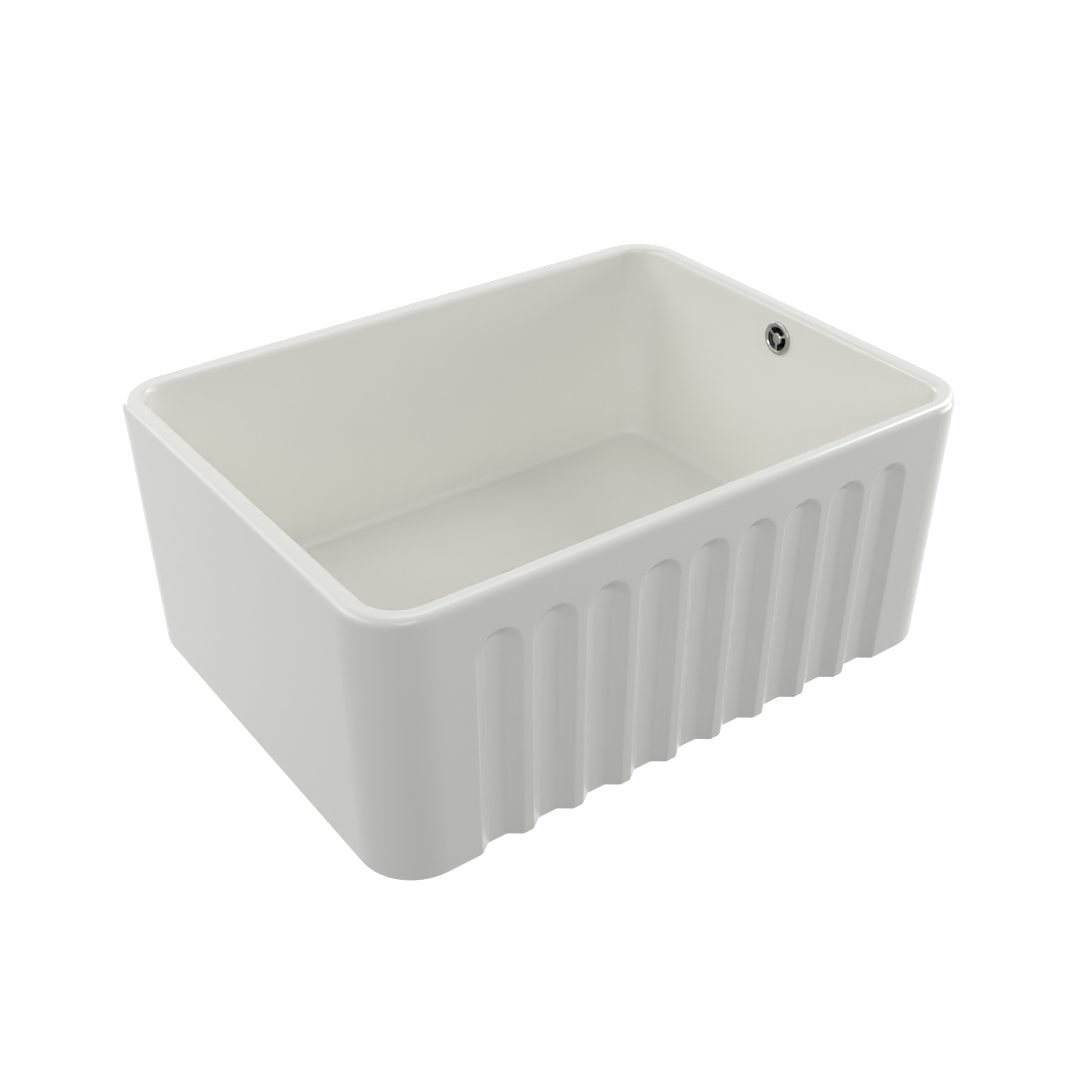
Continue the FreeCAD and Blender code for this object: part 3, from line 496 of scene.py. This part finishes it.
def makeMoulded(name, look):
    material, tree, shader = newMaterial(name)
    skin = useGroup(tree, mouldSkin, (-1200, 0), skinPattern)
    marks = useGroup(tree, handlingMarks, (-1200, 300), mouldedMarks)
    tone = blendTones(tree, skin.outputs["flow"], look["colour"], look["swirl"], (-900, 250))
    scratches = marks.outputs["scratches"]
    scuff = calc(tree, "MULTIPLY", scratches, mouldedMarks["scuffShare"], (-900, 50))
    scuffed = blendTones(tree, scuff, tone, look["scuff"], (-600, 250))
    feed(tree, scuffed, shader.inputs["Base Color"])
    gloss = overNoise(tree, marks.outputs["patches"], look["roughness"], (-900, -150))
    feed(tree, gloss, shader.inputs["Roughness"])
    addBump(tree, shader, skin.outputs["grain"], look["grainDepth"], (-600, -300))
    return material


finishes = {"glaze": makeGlaze(glazeLook), "polished_chrome": makeChrome(chromeLook)}
for slotName, look in metalLooks.items():
    finishes[slotName] = makeMetal(slotName, look)
for slotName, look in mouldedLooks.items():
    finishes[slotName] = makeMoulded(slotName, look)

for subpart in frame["record"]["subparts"]:
    for slot in frame["nodes"][subpart["node"]].material_slots:
        slot.material = finishes[subpart["material_slot"]]
print("finishes made:", len(finishes))


# Geometry Nodes helpers

def newShapeTree(name, inputs):
    tree = bpy.data.node_groups.new(name, "GeometryNodeTree")
    for label, kind in inputs.items():
        tree.interface.new_socket(label, in_out="INPUT", socket_type="NodeSocket" + kind)
    tree.interface.new_socket("shape", in_out="OUTPUT", socket_type="NodeSocketGeometry")
    start = addNode(tree, "NodeGroupInput", (-1400, 0))
    end = addNode(tree, "NodeGroupOutput", (1200, 0))
    return tree, start.outputs, end


# Moves the shape to its place, then makes it real geometry with its finish
def placeAndFinish(tree, given, shape, end):
    move = addNode(tree, "GeometryNodeTransform", (300, 0))
    feed(tree, shape, move.inputs["Geometry"])
    feed(tree, given["place"], move.inputs["Translation"])
    feed(tree, given["turn"], move.inputs["Rotation"])
    real = addNode(tree, "GeometryNodeRealizeInstances", (600, 0))
    feed(tree, move.outputs[0], real.inputs[0])
    paint = addNode(tree, "GeometryNodeSetMaterial", (900, 0))
    feed(tree, real.outputs[0], paint.inputs["Geometry"])
    feed(tree, given["finish"], paint.inputs["Material"])
    feed(tree, paint.outputs[0], end.inputs["shape"])


# Runs a tree on an empty mesh and keeps the result as a plain mesh on a body
def growPiece(name, tree, values, slotName, body):
    emptyMesh = bpy.data.meshes.new(name)
    piece = bpy.data.objects.new(name, emptyMesh)
    bpy.context.scene.collection.objects.link(piece)
    modifier = piece.modifiers.new("grow", "NODES")
    modifier.node_group = tree
    for item in tree.interface.items_tree:
        if item.name in values:
            modifier[item.identifier] = values[item.name]
        elif item.name == "finish":
            modifier[item.identifier] = finishes[slotName]
    graph = bpy.context.evaluated_depsgraph_get()
    grown = bpy.data.meshes.new_from_object(piece.evaluated_get(graph))
    piece.modifiers.remove(modifier)
    piece.data = grown
    bpy.data.meshes.remove(emptyMesh)
    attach(piece, body)


sweepSteps = {"threadPerTurn": 48, "threadSection": 8, "ribSection": 10}


# Sweeps a round section along a curve and closes its ends
def sweepRound(tree, curve, radius, sides, place):
    across, up = place
    section = addNode(tree, "GeometryNodeCurvePrimitiveCircle", (across, up - 250))
    section.inputs["Resolution"].default_value = sides
    feed(tree, radius, section.inputs["Radius"])
    sweep = addNode(tree, "GeometryNodeCurveToMesh", (across + 400, up))
    sweep.inputs["Fill Caps"].default_value = True
    feed(tree, curve, sweep.inputs["Curve"])
    feed(tree, section.outputs[0], sweep.inputs["Profile Curve"])
    return sweep.outputs[0]


# Threads that show above the outlet nut and beside the waste nut

threads = {
    "outletThread": {
        "radius": 0.0236, "pitch": 0.0030, "turns": 2.6, "ridge": 0.0008,
        "place": (0.0, 0.0, -0.0526), "turn": (0.0, 0.0, 0.0),
    },
    "spigotThread": {
        "radius": 0.0129, "pitch": 0.0024, "turns": 3.3, "ridge": 0.0006,
        "place": (0.0532, 0.0, -0.0150), "turn": (0.0, math.pi / 2, 0.0),
    },
}


def makeThreadTree():
    tree, given, end = newShapeTree("threadTurns", {
        "radius": "Float", "pitch": "Float", "turns": "Float", "ridge": "Float",
        "place": "Vector", "turn": "Vector", "finish": "Material",
    })
    spiral = addNode(tree, "GeometryNodeCurveSpiral", (-800, 100))
    spiral.inputs["Resolution"].default_value = sweepSteps["threadPerTurn"]
    height = calc(tree, "MULTIPLY", given["pitch"], given["turns"], (-1100, -100))
    feed(tree, given["turns"], spiral.inputs["Rotations"])
    feed(tree, given["radius"], spiral.inputs["Start Radius"])
    feed(tree, given["radius"], spiral.inputs["End Radius"])
    feed(tree, height, spiral.inputs["Height"])
    sides = sweepSteps["threadSection"]
    ridge = sweepRound(tree, spiral.outputs[0], given["ridge"], sides, (-800, 0))
    placeAndFinish(tree, given, ridge, end)
    return tree


threadTree = makeThreadTree()
for name, values in threads.items():
    growPiece(name, threadTree, values, "waste_plastic", "sink")
print("threads made:", len(threads))


# Ribs in a ring: grips between the nuts' lugs, the waste body's stiffeners, the knob's knurl

ribRings = {
    "outletNutGrips": {
        "slot": "nut_plastic", "body": "sink", "count": 40, "leaveOut": 4,
        "radius": 0.0284, "height": 0.0165, "rib": 0.0007,
        "place": (0.0, 0.0, -0.0640), "turn": (0.0, 0.0, 0.0),
    },
    "elbowNutGrips": {
        "slot": "nut_plastic", "body": "sink", "count": 40, "leaveOut": 4,
        "radius": 0.0149, "height": 0.0125, "rib": 0.0005,
        "place": (0.3215, 0.0, 0.1910), "turn": (0.0, 0.0, 0.0),
    },
    "wasteNutGrips": {
        "slot": "nut_plastic", "body": "sink", "count": 40, "leaveOut": 4,
        "radius": 0.0149, "height": 0.0125, "rib": 0.0005,
        "place": (0.0705, 0.0, -0.0150), "turn": (0.0, math.pi / 2, 0.0),
    },
    "wasteBodyRibs": {
        "slot": "waste_plastic", "body": "sink", "count": 16, "leaveOut": 16,
        "radius": 0.0494, "height": 0.0320, "rib": 0.0011,
        "place": (0.0, 0.0, -0.0130), "turn": (0.0, 0.0, 0.0),
    },
    "knobKnurl": {
        "slot": "polished_chrome", "body": "plug", "count": 48, "leaveOut": 0,
        "radius": 0.00885, "height": 0.0012, "rib": 0.00026,
        "place": (0.0, 0.0, 0.0335), "turn": (0.0, 0.0, 0.0),
    },
}


def makeRibTree():
    tree, given, end = newShapeTree("ribRing", {
        "radius": "Float", "height": "Float", "rib": "Float", "count": "Int", "leaveOut": "Int",
        "place": "Vector", "turn": "Vector", "finish": "Material",
    })
    ring = addNode(tree, "GeometryNodeMeshCircle", (-800, 200))
    feed(tree, given["count"], ring.inputs["Vertices"])
    feed(tree, given["radius"], ring.inputs["Radius"])
    number = addNode(tree, "GeometryNodeInputIndex", (-1100, 450)).outputs[0]
    step = calc(tree, "MODULO", number, given["leaveOut"], (-850, 450))  # 0 where left out
    kept = calc(tree, "GREATER_THAN", step, 0.5, (-650, 450))
    allKept = calc(tree, "LESS_THAN", given["leaveOut"], 0.5, (-850, 600))  # leaveOut is 0
    wanted = calc(tree, "MAXIMUM", kept, allKept, (-450, 500))
    line = addNode(tree, "GeometryNodeCurvePrimitiveLine", (-800, -200))
    for share, label in ((-0.5, "Start"), (0.5, "End")):
        level = -250 - 200 * share
        point = addNode(tree, "ShaderNodeCombineXYZ", (-1000, level))
        tip = calc(tree, "MULTIPLY", given["height"], share, (-1200, level))
        feed(tree, tip, point.inputs["Z"])
        feed(tree, point.outputs[0], line.inputs[label])
    sides = sweepSteps["ribSection"]
    rib = sweepRound(tree, line.outputs[0], given["rib"], sides, (-800, -200))
    spots = addNode(tree, "GeometryNodeInstanceOnPoints", (-50, 50))
    feed(tree, ring.outputs[0], spots.inputs["Points"])
    feed(tree, wanted, spots.inputs["Selection"])
    feed(tree, rib, spots.inputs["Instance"])
    placeAndFinish(tree, given, spots.outputs[0], end)
    return tree


ribTree = makeRibTree()
for name, values in ribRings.items():
    growPiece(name, ribTree, values, values["slot"], values["body"])
print("rings of ribs made:", len(ribRings))
